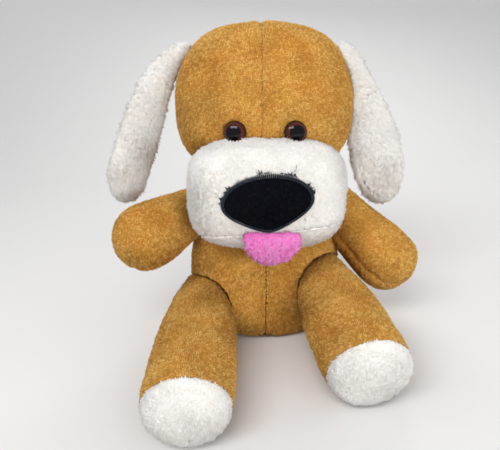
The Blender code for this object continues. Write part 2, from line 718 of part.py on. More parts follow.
def ear_panel(sections, twist, outward):
    """One panel of an ear: flat on the other panel, rounded on its own side."""
    flat = [(along, w, d, 0.0, 0.0) for along, w, d, _, _ in sections]
    bm = swollen_form(flat, FLAP_SIDES, FLAP_RINGS, 2.0)
    rows = curve_through(sections, FLAP_RINGS)
    root = sections[0][0]
    for vert in bm.verts:
        row = min(rows, key=lambda item: abs(item[0] - vert.co.z))
        side = vert.co.copy()
        side.y = outward * max(side.y * outward, GAP / 2)
        side.z = 0.0
        amount = twist * min(1.0, (root - vert.co.z) / EAR_TWIST_OVER)
        turned = Matrix.Rotation(amount, 3, "Z") @ side
        vert.co = (row[3] + turned.x, row[4] + turned.y, vert.co.z)
    return bm


def build_arms():
    """Each arm: plush tube with a paw, stuffing, and a finger pocket down its middle."""
    for side, label, shoulder, paw in ((1, "left", SHOULDER_LEFT, PAW_LEFT),
                                       (-1, "right", SHOULDER_RIGHT, PAW_RIGHT)):
        way = (paw - shoulder).normalized()
        bore = POCKET + LINING + GAP
        mouth = rod_cutter("arm_mouth_" + label, shoulder, shoulder + Vector((-side * 40.0, 0, 0)),
                           bore)
        pocket_room = rod_cutter("arm_pocket_room_" + label, shoulder - way * 2.0,
                                 shoulder + way * (ARM_POCKET + GAP), bore)
        cover = thicken(add_object("arm_cover_" + label, limb_form(ARM_SECTIONS, shoulder, paw),
                                   "plush"), PLUSH)
        cut(cover, mouth)
        core = limb_form(ARM_SECTIONS, shoulder, paw, inset=PLUSH + GAP)
        cut(add_object("arm_stuffing_" + label, core, "stuffing"), mouth, pocket_room)
        profile = pocket_profile(bore, ARM_POCKET, POCKET)
        add_object("arm_finger_pocket_" + label, spun(profile, way, shoulder, 16), "lining")


def build_legs(floor):
    """Each leg: plush tube, cream foot cap and stuffing."""
    for label, hip, foot, stretch in (("left", HIP_LEFT, FOOT_LEFT, LEG_LEFT_STRETCH),
                                      ("right", HIP_RIGHT, FOOT_RIGHT, LEG_RIGHT_STRETCH)):
        way = (foot - hip).normalized()
        seam = hip + way * (LEG_SECTIONS[-1][0] + stretch - FOOT_CAP)
        face = Matrix.Rotation(CAP_TILT, 3, "X") @ way
        foot_room = rod_cutter("foot_room_" + label, seam - face * (GAP / 2), seam + face * 90.0, 90.0)
        leg_room = rod_cutter("leg_room_" + label, seam + face * (GAP / 2), seam - face * 190.0, 90.0)
        for name, finish, away in (("leg_cover_", "plush", foot_room),
                                   ("foot_cap_", "fleece", leg_room)):
            shell = limb_form(LEG_SECTIONS, hip, foot, stretch, flat=LEG_FLAT)
            cut(thicken(add_object(name + label, shell, finish), PLUSH), away, floor)
        core = limb_form(LEG_SECTIONS, hip, foot, stretch, PLUSH + GAP, LEG_FLAT)
        add_object("leg_stuffing_" + label, core, "stuffing")


def lean(first):
    """Hang every object made since the given count on the leaning body."""
    tilt = bpy.data.objects.new("upper_body", None)
    tilt.rotation_euler = (0.0, LEAN, TURN)
    bpy.context.scene.collection.objects.link(tilt)
    for made in list(bpy.data.objects):
        if made.type == "MESH" and made.name not in first:
            made.parent = tilt


def main():
    """Clear the scene and build the puppet."""
    for old in list(bpy.data.objects):
        bpy.data.objects.remove(old, do_unlink=True)
    floor_cutters = (slab_cutter("below_floor", z_to=0.0),
                     slab_cutter("above_seat", z_from=SEAT_PLATE),
                     slab_cutter("seat_room", z_to=SEAT_PLATE + GAP))
    sideways = Vector((1.0, 0.0, 0.0))
    hip_sockets = [swing_room("leg_room_left_swing", LEG_SECTIONS, HIP_LEFT, FOOT_LEFT,
                              (sideways, *LEG_SWING), LEG_LEFT_STRETCH, LEG_FLAT),
                   swing_room("leg_room_right_swing", LEG_SECTIONS, HIP_RIGHT, FOOT_RIGHT,
                              (sideways, *LEG_SWING), LEG_RIGHT_STRETCH, LEG_FLAT)]
    build_legs(floor_cutters[0])
    upright = {made.name for made in bpy.data.objects}
    neck_socket = socket_cutter("neck_socket", NECK, NECK_ROLL)
    arm_sockets = [swing_room("arm_room_left", ARM_SECTIONS, SHOULDER_LEFT, PAW_LEFT,
                              (raise_axis(SHOULDER_LEFT, PAW_LEFT, ARM_LEFT_LIFT), *ARM_LEFT_SWING)),
                   swing_room("arm_room_right", ARM_SECTIONS, SHOULDER_RIGHT, PAW_RIGHT,
                              (raise_axis(SHOULDER_RIGHT, PAW_RIGHT, ARM_RIGHT_LIFT),
                               *ARM_RIGHT_SWING))]
    build_torso([neck_socket, *arm_sockets, *hip_sockets], *floor_cutters)
    build_neck()
    build_head(neck_socket)
    lower_lip = build_muzzle()
    muzzle_zone = build_nose(lower_lip)
    build_tongue(muzzle_zone)
    build_ears()
    build_arms()
    lean(upright)


main()
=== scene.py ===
"""Looks of a seated plush puppy hand puppet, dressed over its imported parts.

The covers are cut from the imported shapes, drawn smooth over the stuffed forms and then
napped: every small patch of cloth carries one leaning tuft of pile.
"""
from __future__ import annotations

import json
import logging
import math
from dataclasses import dataclass, field
from enum import Enum
from typing import Callable, Sequence

import bmesh
import bpy
from mathutils import Matrix, Vector, noise
from mathutils.bvhtree import BVHTree

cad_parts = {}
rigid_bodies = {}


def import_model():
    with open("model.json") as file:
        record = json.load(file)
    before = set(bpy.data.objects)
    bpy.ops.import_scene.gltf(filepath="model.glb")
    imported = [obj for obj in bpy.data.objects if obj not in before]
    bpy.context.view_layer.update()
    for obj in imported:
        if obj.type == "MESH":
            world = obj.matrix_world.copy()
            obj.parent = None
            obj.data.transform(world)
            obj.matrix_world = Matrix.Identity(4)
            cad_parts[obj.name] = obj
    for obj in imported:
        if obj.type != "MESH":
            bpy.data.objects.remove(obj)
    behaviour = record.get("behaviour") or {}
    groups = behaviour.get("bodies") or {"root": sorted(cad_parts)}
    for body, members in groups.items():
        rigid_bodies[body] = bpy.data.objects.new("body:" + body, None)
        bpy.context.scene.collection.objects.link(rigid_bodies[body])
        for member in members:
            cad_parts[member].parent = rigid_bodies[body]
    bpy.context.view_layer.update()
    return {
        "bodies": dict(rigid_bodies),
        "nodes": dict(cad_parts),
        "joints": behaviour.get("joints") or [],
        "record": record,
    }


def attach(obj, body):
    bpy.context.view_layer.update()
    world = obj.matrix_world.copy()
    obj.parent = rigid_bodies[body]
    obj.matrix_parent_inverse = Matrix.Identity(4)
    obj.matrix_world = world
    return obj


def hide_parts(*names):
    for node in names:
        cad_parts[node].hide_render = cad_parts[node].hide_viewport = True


MM = 0.001
LEAN = Matrix.Rotation(math.radians(-1.8), 4, "Z") @ Matrix.Rotation(math.radians(5.4), 4, "Y")
UPRIGHT = Matrix.Identity(4)
Section = tuple[float, float, float, float, float]
log = logging.getLogger("puppet")


class Weave(Enum):
    """How a cloth's surface is made."""

    PILE = "pile"
    PLAIN = "plain"
    FIBRE = "fibre"


@dataclass(frozen=True)
class Cloth:
    """A cloth finish: colours from root to tip, and how its surface scatters light; on piled cloth
    the dark root is painted shade down in the pile and the light tip painted light on the tips.
    """

    name: str
    slot: str
    root: tuple[float, float, float]
    middle: tuple[float, float, float]
    tip: tuple[float, float, float]
    warm: tuple[float, float, float]
    weave: Weave = Weave.PILE
    roughness: float = 0.95
    sheen: float = 0.0
    patch: float = 90.0
    grain: float = 900.0
    shine: float = 0.25

    def material(self) -> bpy.types.Material:
        """Build the node material of this cloth.

        Returns:
            The material, made once.
        """
        if self.name in bpy.data.materials:
            return bpy.data.materials[self.name]
        made = bpy.data.materials.new(self.name)
        made.use_nodes = True
        tree = made.node_tree
        nodes, links = tree.nodes, tree.links
        shader = nodes["Principled BSDF"]
        shader.inputs["Roughness"].default_value = self.roughness
        shader.inputs["Sheen Weight"].default_value = self.sheen
        shader.inputs["Sheen Roughness"].default_value = 0.45
        shader.inputs["Specular IOR Level"].default_value = self.shine
        place = nodes.new("ShaderNodeTexCoord")
        patches = self._noise(tree, place, self.patch, 3.0)
        grain = self._noise(tree, place, self.grain, 2.0)
        depth = nodes.new("ShaderNodeAttribute")
        depth.attribute_name = "pile"
        spread = nodes.new("ShaderNodeMath")
        spread.operation = "MULTIPLY_ADD"
        spread.inputs[1].default_value = 0.30
        links.new(grain.outputs["Fac"], spread.inputs[0])
        # Painted shade: on piled cloth the pile's height picks the colour, dark at the roots and on
        # hidden inner sides, painted light on the tips.
        if self.weave is Weave.PILE:
            links.new(depth.outputs["Fac"], spread.inputs[2])
        else:
            spread.inputs[2].default_value = 0.35
        ramp = nodes.new("ShaderNodeValToRGB")
        ramp.color_ramp.elements[0].position = 0.12
        ramp.color_ramp.elements[0].color = (*self.root, 1.0)
        ramp.color_ramp.elements[1].position = 1.0
        ramp.color_ramp.elements[1].color = (*self.tip, 1.0)
        ramp.color_ramp.elements.new(0.60).color = (*self.middle, 1.0)
        links.new(spread.outputs[0], ramp.inputs["Fac"])
        tint = nodes.new("ShaderNodeMix")
        tint.data_type = "RGBA"
        tint.blend_type = "MULTIPLY"
        fade = nodes.new("ShaderNodeMapRange")
        fade.inputs["From Min"].default_value = 0.42
        fade.inputs["From Max"].default_value = 0.68
        fade.inputs["To Max"].default_value = 0.75
        links.new(patches.outputs["Fac"], fade.inputs["Value"])
        links.new(fade.outputs["Result"], tint.inputs["Factor"])
        links.new(ramp.outputs["Color"], tint.inputs["A"])
        tint.inputs["B"].default_value = (*self.warm, 1.0)
        links.new(tint.outputs["Result"], shader.inputs["Base Color"])
        links.new(self._bump(tree, place, grain).outputs["Normal"], shader.inputs["Normal"])
        return made

    def _noise(self, tree: bpy.types.NodeTree, place: bpy.types.Node, scale: float,
               detail: float) -> bpy.types.Node:
        """Add a noise texture on Object coordinates.

        Args:
            tree: The node tree.
            place: The texture coordinate node.
            scale: The noise's scale, per metre.
            detail: How many octaves it has.

        Returns:
            The noise node.
        """
        made = tree.nodes.new("ShaderNodeTexNoise")
        made.inputs["Scale"].default_value = scale
        made.inputs["Detail"].default_value = detail
        tree.links.new(place.outputs["Object"], made.inputs["Vector"])
        return made

    def _bump(self, tree: bpy.types.NodeTree, place: bpy.types.Node,
              grain: bpy.types.Node) -> bpy.types.Node:
        """Add the relief: threads on woven cloth, short fibres on the rest.

        Args:
            tree: The node tree.
            place: The texture coordinate node.
            grain: The fine noise.

        Returns:
            The bump node.
        """
        bump = tree.nodes.new("ShaderNodeBump")
        bump.inputs["Strength"].default_value = 0.35
        bump.inputs["Distance"].default_value = 0.0006
        height = grain.outputs["Fac"]
        if self.weave is Weave.PLAIN:
            waves = []
            for way in ("X", "Z"):
                thread = tree.nodes.new("ShaderNodeTexWave")
                thread.bands_direction = way
                thread.inputs["Scale"].default_value = 330.0
                thread.inputs["Distortion"].default_value = 0.6
                tree.links.new(place.outputs["Object"], thread.inputs["Vector"])
                waves.append(thread)
            both = tree.nodes.new("ShaderNodeMath")
            both.operation = "MULTIPLY"
            tree.links.new(waves[0].outputs["Fac"], both.inputs[0])
            tree.links.new(waves[1].outputs["Fac"], both.inputs[1])
            height = both.outputs[0]
        tree.links.new(height, bump.inputs["Height"])
        return bump


@dataclass(frozen=True)
class Nap:
    """The pile of a cloth: patch size, tuft length, lean and stray, in millimetres."""

    pitch: float
    length: float
    lean: float
    tousle: float
    clump: float = 0.6
    down: Vector = field(default_factory=lambda: Vector((0.0, -0.3, -1.0)))


# On the piled cloths, root to tip is painted light: the dark root colour stands for shade down in
# the pile, the light tip colour for light on the tips.
PLUSH = Cloth("golden_plush", "plush", (0.33, 0.135, 0.022), (0.64, 0.33, 0.064),
              (0.93, 0.62, 0.21), (0.92, 0.80, 0.66), patch=42.0)
FLEECE = Cloth("warm_white_fleece", "fleece", (0.78, 0.73, 0.66), (0.88, 0.86, 0.825),
               (0.94, 0.935, 0.915), (0.99, 0.975, 0.95), patch=45.0)
NOSE_CLOTH = Cloth("black_brushed_cloth", "nose", (0.0012, 0.0012, 0.002), (0.0035, 0.0036, 0.006),
                   (0.012, 0.013, 0.020), (0.8, 0.85, 1.0), roughness=0.85, shine=0.04)
TONGUE_CLOTH = Cloth("pink_plush", "tongue", (0.62, 0.08, 0.36), (0.86, 0.28, 0.62),
                     (0.96, 0.47, 0.79), (0.98, 0.90, 0.96), patch=110.0)
LINING_CLOTH = Cloth("brown_cotton", "lining", (0.16, 0.080, 0.032), (0.30, 0.165, 0.072),
                     (0.45, 0.27, 0.13), (0.9, 0.85, 0.8), weave=Weave.PLAIN, sheen=0.05)
SOCKET_CLOTH = Cloth("golden_backing", "plush", (0.20, 0.085, 0.016), (0.46, 0.23, 0.048),
                     (0.66, 0.38, 0.11), (0.92, 0.80, 0.66), weave=Weave.PLAIN)
FILLING = Cloth("fibre_filling", "stuffing", (0.60, 0.60, 0.58), (0.76, 0.76, 0.74),
                (0.92, 0.92, 0.90), (0.96, 0.96, 0.94), weave=Weave.FIBRE, grain=300.0)
SHORT_PILE = Nap(1.15, 1.7, 0.7, 0.35)
FLEECE_PILE = Nap(1.1, 1.9, 0.8, 0.5, 0.72)
LONG_PILE = Nap(1.2, 3.1, 1.2, 0.6, 0.72)
NOSE_PILE = Nap(0.9, 0.35, 0.3, 0.2)
TONGUE_PILE = Nap(0.85, 1.9, 0.2, 0.8, 1.0)


@dataclass(frozen=True)
class Gloss:
    """A plastic or thread finish without pile."""

    name: str
    slot: str
    colour: tuple[float, float, float]
    second: tuple[float, float, float]
    roughness: float
    coat: float = 0.0
    attribute: str = ""
    grain: float = 500.0

    def material(self) -> bpy.types.Material:
        """Build the node material: two colours mixed by noise, or by the named attribute.

        Returns:
            The material, made once.
        """
        if self.name in bpy.data.materials:
            return bpy.data.materials[self.name]
        made = bpy.data.materials.new(self.name)
        made.use_nodes = True
        tree = made.node_tree
        shader = tree.nodes["Principled BSDF"]
        shader.inputs["Roughness"].default_value = self.roughness
        shader.inputs["Specular IOR Level"].default_value = 0.3
        shader.inputs["Coat Weight"].default_value = self.coat
        shader.inputs["Coat Roughness"].default_value = 0.03
        ramp = tree.nodes.new("ShaderNodeValToRGB")
        first, last = ramp.color_ramp.elements
        first.color = (*self.colour, 1.0)
        last.color = (*self.second, 1.0)
        if self.attribute:
            source = tree.nodes.new("ShaderNodeAttribute")
            source.attribute_name = self.attribute
            first.position = 0.62
            last.position = 0.70
            rim = ramp.color_ramp.elements.new(0.97)
            rim.color = (0.012, 0.006, 0.004, 1.0)
        else:
            place = tree.nodes.new("ShaderNodeTexCoord")
            source = tree.nodes.new("ShaderNodeTexNoise")
            source.inputs["Scale"].default_value = self.grain
            tree.links.new(place.outputs["Object"], source.inputs["Vector"])
            first.position = 0.3
            last.position = 0.7
        tree.links.new(source.outputs["Fac"], ramp.inputs["Fac"])
        tree.links.new(ramp.outputs["Color"], shader.inputs["Base Color"])
        return made


EYE_PLASTIC = Gloss("amber_eye_plastic", "eye", (0.0015, 0.001, 0.001), (0.10, 0.014, 0.007),
                    0.05, attribute="from_middle")
WASHER_PLASTIC = Gloss("natural_washer_plastic", "washer", (0.62, 0.63, 0.65),
                       (0.76, 0.77, 0.79), 0.4)
SATIN_THREAD = Gloss("navy_satin_thread", "thread", (0.0035, 0.005, 0.010),
                     (0.010, 0.015, 0.027), 0.5, grain=1500.0)
BLACK_FIBRE = Gloss("black_fibre", "nose", (0.002, 0.002, 0.004), (0.008, 0.008, 0.013), 0.7)
HEM_THREAD = Gloss("brown_sewing_thread", "lining", (0.42, 0.23, 0.09), (0.60, 0.36, 0.15), 0.5)


LUMP_NOISE = (60.0, 24.0)   # bumps per metre: of the stuffing under the cloth, small and large
JITTER_NOISE = 4100.0       # of the net's points
ROOT_NOISE = 2600.0         # of the pile's roots
TUFT_NOISE = 430.0          # of the clumps that tufts stand in
CLUMP_NOISE = 1100.0        # of single tufts' lengths
SHADE_NOISE = 1700.0        # of single tufts' colours
STRAY_NOISE = 5200.0        # of single tufts' directions
COMB_NOISE = 40.0           # of the way the pile is stroked
NOISE_SEED = 11  # of the noise vectors, which would follow the clock without it
# Painted shade in the pile: the roots are darkest, the inner sides that show in creases a little
# lighter, and the tips take the painted light.
ROOT_SHADE, INNER_SHADE, TIP_SHADE = 0.24, 0.35, 0.58   # heights in the pile, for its colour


def through(points: Sequence[Section], at: float) -> tuple[float, ...]:
    """Point of a smooth curve through the sections.

    Args:
        points: The sections, pole to pole.
        at: Place along them, 0 to 1.

    Returns:
        The values there.
    """
    first = (points[1][0], -points[1][1], -points[1][2], points[1][3], points[1][4])
    last = (points[-2][0], -points[-2][1], -points[-2][2], points[-2][3], points[-2][4])
    padded = [first, *points, last]
    place = at * (len(points) - 1)
    span = min(int(place), len(points) - 2)
    t = place - span
    out = []
    for a, b, c, d in zip(*padded[span:span + 4]):
        out.append(0.5 * (2 * b + (c - a) * t + (2 * a - 5 * b + 4 * c - d) * t * t
                          + (3 * b - a - 3 * c + d) * t ** 3))
    return tuple(out)


@dataclass
class StuffedForm:
    """Smooth outer shape of a stuffed piece, in millimetres, before the body's lean."""

    sections: Sequence[Section]
    square: float = 2.0
    place: Matrix = field(default_factory=lambda: Matrix.Identity(4))
    seam: Callable[[Vector], float] | None = None
    sides: int = 96
    rings: int = 72
    net: float = 5.0
    swell: float = 1.8
    tight: float = 0.9
    found: BVHTree | None = None

    def mesh(self) -> bmesh.types.BMesh:
        """Map a fine ball onto the sections.

        Returns:
            The form as a bmesh in metres, in the row frame.
        """
        bm = bmesh.new()
        bmesh.ops.create_uvsphere(bm, u_segments=self.sides, v_segments=self.rings, radius=1.0)
        for vert in bm.verts:
            at = math.acos(max(-1.0, min(1.0, vert.co.z))) / math.pi
            along, half_w, half_d, shift_x, shift_y = through(self.sections, at)
            if at < 1e-4 or at > 1.0 - 1e-4:
                half_w = half_d = 0.0
            angle = math.atan2(vert.co.y, vert.co.x)
            power = 2.0 / self.square
            across = math.copysign(abs(math.cos(angle)) ** power, math.cos(angle))
            deep = math.copysign(abs(math.sin(angle)) ** power, math.sin(angle))
            vert.co = (shift_x + half_w * across, shift_y + half_d * deep, along)
        bmesh.ops.transform(bm, matrix=self.place, verts=bm.verts[:])
        bmesh.ops.scale(bm, vec=(MM, MM, MM), verts=bm.verts[:])
        bmesh.ops.recalc_face_normals(bm, faces=bm.faces[:])
        return bm

    def tree(self) -> BVHTree:
        """Search tree of the form's surface, blown up once by its filling.

        Returns:
            The tree.
        """
        if self.found is None:
            bm = self.filled()
            self.found = BVHTree.FromBMesh(bm)
            bm.free()
        return self.found

    def filled(self) -> bmesh.types.BMesh:
        """Let the filling press the cloth outwards while the stitched seams hold it.

        Returns:
            The settled form in metres, in the row frame.
        """
        scene = bpy.context.scene
        bm = remeshed(self.mesh(), self.net)
        mesh = bpy.data.meshes.new("filled")
        bm.to_mesh(mesh)
        bm.free()
        bag = bpy.data.objects.new("filled", mesh)
        scene.collection.objects.link(bag)
        stitched = bag.vertex_groups.new(name="stitched")
        for vert in mesh.vertices:
            held = min(1.0, self.seam(vert.co) / (0.8 * MM)) if self.seam else 0.0
            stitched.add([vert.index], held, "REPLACE")
        cloth = bag.modifiers.new("cloth", "CLOTH")
        cloth.settings.quality = 4
        cloth.settings.vertex_group_mass = "stitched"
        cloth.settings.use_pressure = True
        cloth.settings.uniform_pressure_force = 4.0
        cloth.settings.effector_weights.gravity = 0.0
        cloth.point_cache.frame_start, cloth.point_cache.frame_end = 1, 20
        for frame in range(1, 21):
            scene.frame_set(frame)
        moved = bag.evaluated_get(bpy.context.evaluated_depsgraph_get()).data
        for vert, after in zip(mesh.vertices, moved.vertices):
            path = after.co - vert.co
            if path.length > self.swell * MM:
                path.length = self.swell * MM
            vert.co += path - vert.normal * (self.tight * MM)
        bag.modifiers.clear()
        scene.frame_set(1)
        smooth = bag.modifiers.new("smooth", "SUBSURF")
        smooth.levels = smooth.render_levels = 1
        made = bmesh.new()
        made.from_object(bag, bpy.context.evaluated_depsgraph_get())
        bpy.data.objects.remove(bag)
        bpy.data.meshes.remove(mesh)
        return made


def piece(name: str, bm: bmesh.types.BMesh, finish: Cloth | Gloss, smooth: bool = True
          ) -> bpy.types.Object:
    """Turn a bmesh in metres into a named piece with its finish.

    Args:
        name: The piece's name.
        bm: Its mesh; it is freed.
        finish: Its cloth or gloss.
        smooth: Whether its faces are shaded smooth.

    Returns:
        The object, at the origin.
    """
    mesh = bpy.data.meshes.new(name)
    bm.to_mesh(mesh)
    bm.free()
    if smooth:
        mesh.shade_smooth()
    made = bpy.data.objects.new(name, mesh)
    bpy.context.scene.collection.objects.link(made)
    mesh.materials.append(finish.material())
    return made


def remeshed(bm: bmesh.types.BMesh, pitch: float) -> bmesh.types.BMesh:
    """Give a closed mesh an even net of small quads.

    Args:
        bm: The mesh, in metres; it is freed.
        pitch: Size of a quad, in millimetres.

    Returns:
        The evenly netted mesh.
    """
    mesh = bpy.data.meshes.new("net")
    bm.to_mesh(mesh)
    bm.free()
    holder = bpy.data.objects.new("net", mesh)
    bpy.context.scene.collection.objects.link(holder)
    net = holder.modifiers.new("net", "REMESH")
    net.mode = "VOXEL"
    net.voxel_size = pitch * MM * 1.0
    made = bmesh.new()
    made.from_object(holder, bpy.context.evaluated_depsgraph_get())
    bpy.data.objects.remove(holder)
    bpy.data.meshes.remove(mesh)
    return made


def packed(node: str) -> bmesh.types.BMesh:
    """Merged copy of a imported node's mesh.

    Args:
        node: The node's name.

    Returns:
        The copy, in metres.
    """
    bm = bmesh.new()
    bm.from_mesh(bpy.data.objects[NODES[node]].data)
    bmesh.ops.remove_doubles(bm, verts=bm.verts[:], dist=1e-6)
    return bm


NODES: dict[str, str] = {}


@dataclass
class Tailor:
    """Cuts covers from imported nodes, draws them over their forms and raises the nap."""

    frame: dict

    def __post_init__(self) -> None:
        """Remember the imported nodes' object names."""
        for name, node in self.frame["nodes"].items():
            NODES[name] = node.name

    def plush(self, node: str, form: StuffedForm | None, cloth: Cloth, nap: Nap, body: str,
              reach: float = 2.2, facing: Sequence[str] = (), lumps: float = 0.7,
              seams: Callable[[Vector], float] | None = None,
              ease: Callable[[Vector], Vector] | None = None) -> bpy.types.Object:
        """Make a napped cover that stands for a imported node.

        Args:
            node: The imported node.
            form: Smooth shape that the outside is drawn to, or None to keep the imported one.
            cloth: The cloth.
            nap: Its pile.
            body: The body that it rides on.
            reach: How near the form a point lies to count as outside, in millimetres.
            facing: Nodes that hide the side of the cover that lies on them.
            lumps: Unevenness of the stuffing under the cloth, in millimetres.
            seams: Depth of a seam's valley at a point, in metres.
            ease: Moves a point of the cover before it is drawn, such as to close a mouth.

        Returns:
            The cover.
        """
        bm = remeshed(packed(node), nap.pitch)
        for _ in range(3):
            bmesh.ops.smooth_vert(bm, verts=bm.verts[:], factor=0.5, use_axis_x=True,
                                  use_axis_y=True, use_axis_z=True)
        if ease:
            for vert in bm.verts:
                vert.co = ease(vert.co)
        bm.normal_update()
        layer = bm.verts.layers.float.new("pile")
        # Painted shade: points that stay inside, in creases and against neighbours, keep a darkish
        # colour.
        for vert in bm.verts:
            vert[layer] = INNER_SHADE
        if form is None:
            outside = self.open_side(bm, facing)
        else:
            outside = self.draw(bm, form, reach, lumps, seams)
        self.raise_nap(bm, outside, nap, layer)
        made = piece(node + "_cover" if not node.endswith("cover") else node + "_nap", bm, cloth)
        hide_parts(node)
        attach(made, body)
        log.info("%s: %d faces", made.name, len(made.data.polygons))
        return made

    def open_side(self, bm: bmesh.types.BMesh, facing: Sequence[str]) -> set[bmesh.types.BMVert]:
        """Find the points that don't lie against a neighbour.

        Args:
            bm: The cover's net.
            facing: The neighbours' nodes.

        Returns:
            The points that lie open.
        """
        trees = []
        for node in facing:
            other = packed(node)
            trees.append(BVHTree.FromBMesh(other))
            other.free()
        return {vert for vert in bm.verts if not any(
            tree.ray_cast(vert.co, vert.normal, 2.5 * MM)[0] for tree in trees)}

    def draw(self, bm: bmesh.types.BMesh, form: StuffedForm, reach: float, lumps: float,
             seams: Callable[[Vector], float] | None) -> set[bmesh.types.BMVert]:
        """Draw the outer points onto the smooth form, with the stuffing's lumps.

        Args:
            bm: The cover's net.
            form: The smooth form.
            reach: Search distance in millimetres.
            lumps: Height of the lumps in millimetres.
            seams: Depth of a seam's valley at a point.

        Returns:
            The points that lie outside.
        """
        tree = form.tree()
        outside = set()
        for vert in bm.verts:
            spot, normal, _, _ = tree.find_nearest(vert.co, reach * MM)
            if spot is None or normal.dot(vert.normal) < -0.25:
                continue
            small, large = (noise.noise(spot * scale) for scale in LUMP_NOISE)
            lift = lumps * MM * (small + 1.2 * large)
            if seams:
                lift -= seams(spot)
            vert.co = spot + normal * lift
            outside.add(vert)
        return outside

    def raise_nap(self, bm: bmesh.types.BMesh, outside: set[bmesh.types.BMVert], nap: Nap,
                  layer: bmesh.types.BMLayerItem) -> None:
        """Poke each outer patch into a leaning tuft.

        Args:
            bm: The cover's net.
            outside: The points that lie outside.
            nap: The pile.
            layer: Keeps how far up the pile each point lies, which sets its painted shade.
        """
        for vert in outside:
            jitter = noise.noise_vector(vert.co * JITTER_NOISE) * (0.42 * nap.pitch * MM)
            vert.co += jitter - vert.normal * jitter.dot(vert.normal)
            # Painted shade at the roots of the pile, varied at random.
            vert[layer] = ROOT_SHADE + 0.2 * noise.noise(vert.co * ROOT_NOISE)
        faces = [face for face in bm.faces if sum(vert in outside for vert in face.verts) > 1]
        tufts = bmesh.ops.poke(bm, faces=faces, offset=0.0, center_mode="MEAN")["verts"]
        bm.normal_update()
        for tip in tufts:
            spot, normal = tip.co.copy(), tip.normal.copy()
            comb = nap.down + noise.noise_vector(spot * COMB_NOISE) * 1.5
            comb -= normal * comb.dot(normal)
            tuft = noise.noise(spot * TUFT_NOISE + comb * 0.25)
            clump = 0.8 + nap.clump * (1.15 * tuft + 0.5 * noise.noise(spot * CLUMP_NOISE))
            stray = noise.noise_vector(spot * STRAY_NOISE) * nap.tousle
            gather = noise.noise_vector(spot * TUFT_NOISE) * (0.9 * nap.tousle)
            tip.co += (normal * nap.length * max(0.15, clump) + comb * nap.lean + stray
                       + gather) * MM
            # The tips' painted light: lighter on the longer clumps, and varied at random.
            shade = nap.clump * 1.1 * tuft + 0.8 * noise.noise(spot * SHADE_NOISE)
            broad = 0.25 * noise.noise(spot * LUMP_NOISE[0])
            tip[layer] = min(1.0, max(0.12, TIP_SHADE + shade + broad))
        for vert in bm.verts:
            vert.co.z = max(vert.co.z, 0.0)

    def cloth(self, node: str, finish: Cloth | Gloss, body: str, edge: float = 4.0,
              crease: float = 0.35, draw_in: Matrix | None = None) -> bpy.types.Object:
        """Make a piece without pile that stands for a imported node.

        Args:
            node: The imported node.
            finish: Its cloth or gloss.
            body: The body that it rides on.
            edge: Longest edge left in it, in millimetres.
            crease: How far its wrinkles wander, in millimetres.
            draw_in: Shrinks it, where its edge lies under a cover's pile.

        Returns:
            The piece.
        """
        bm = packed(node)
        for _ in range(3):
            long_edges = [e for e in bm.edges if e.calc_length() > edge * MM]
            bmesh.ops.subdivide_edges(bm, edges=long_edges, cuts=1)
            bmesh.ops.triangulate(bm, faces=[f for f in bm.faces if len(f.verts) > 3])
        bm.normal_update()
        for vert in bm.verts:
            vert.co += noise.noise_vector(vert.co * 75.0) * (crease * MM)
        if draw_in:
            bmesh.ops.transform(bm, matrix=draw_in, verts=bm.verts[:])
        made = piece(node + "_cloth", bm, finish)
        made.data.set_sharp_from_angle(angle=math.radians(50.0))
        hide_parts(node)
        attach(made, body)
        return made

    def filling(self, node: str, body: str) -> bpy.types.Object:
        """Make the loose fibre that stands for a packed stuffing.

        Args:
            node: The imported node.
            body: The body that it rides on.

        Returns:
            The filling.
        """
        bm = remeshed(packed(node), 3.4)
        bmesh.ops.smooth_vert(bm, verts=bm.verts[:], factor=0.5, use_axis_x=True,
                              use_axis_y=True, use_axis_z=True)
        bm.normal_update()
        for vert in bm.verts:
            coarse, fine = (abs(noise.noise(vert.co * scale)) for scale in (160.0, 420.0))
            lump = 0.25 + coarse + 0.4 * fine
            vert.co -= vert.normal * (lump * MM)
        made = piece(node + "_fibre", bm, FILLING)
        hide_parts(node)
        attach(made, body)
        return made

    def socket(self, name: str, nodes: Sequence[str], joint: Vector, reach: float, body: str
               ) -> bpy.types.Object:
        """Line the hollow that a limb or the neck turns in, so that no filling shows there.

        Args:
            name: The lining's name.
            nodes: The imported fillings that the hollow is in.
            joint: Where the limb turns, in metres.
            reach: How far from the joint the hollow goes, in millimetres.
            body: The body that it rides on.

        Returns:
            The lining.
        """
        bm = bmesh.new()
        for node in nodes:
            part = packed(node)
            away = [face for face in part.faces if not facing_point(face, joint, reach * MM)]
            bmesh.ops.delete(part, geom=away, context="FACES")
            mesh = bpy.data.meshes.new("hollow")
            part.to_mesh(mesh)
            part.free()
            bm.from_mesh(mesh)
            bpy.data.meshes.remove(mesh)
        bm.normal_update()
        bmesh.ops.solidify(bm, geom=bm.faces[:], thickness=-0.3 * MM)
        bmesh.ops.recalc_face_normals(bm, faces=bm.faces[:])
        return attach(piece(name, bm, SOCKET_CLOTH), body)


def facing_point(face: bmesh.types.BMFace, point: Vector, reach: float) -> bool:
    """Whether a face lies within reach of a point and looks towards it."""
    way = point - face.calc_center_median()
    return way.length < reach and face.normal.dot(way) > 0.3 * way.length


def strand(bm: bmesh.types.BMesh, start: Vector, end: Vector, radius: float,
           rise: Vector) -> None:
    """Add one bowed strand of thread.

    Args:
        bm: The mesh that takes it.
        start: One end, in metres.
        end: The other end.
        radius: Its radius.
        rise: How far its middle stands up.
    """
    way = end - start
    turn = way.to_track_quat("Z", "Y").to_matrix()
    for vert in bmesh.ops.create_uvsphere(bm, u_segments=6, v_segments=6, radius=1.0)["verts"]:
        along = vert.co.z
        swell = Vector((vert.co.x * radius, vert.co.y * radius, along * way.length / 2))
        vert.co = turn @ swell + (start + end) / 2 + rise * (1.0 - along * along)


def shifted(rows: Sequence[tuple[float, ...]]) -> list[Section]:
    """Give sections of (along, half width, half depth, y) their missing x shift."""
    return [(row[0], row[1], row[2], 0.0, row[3]) for row in rows]


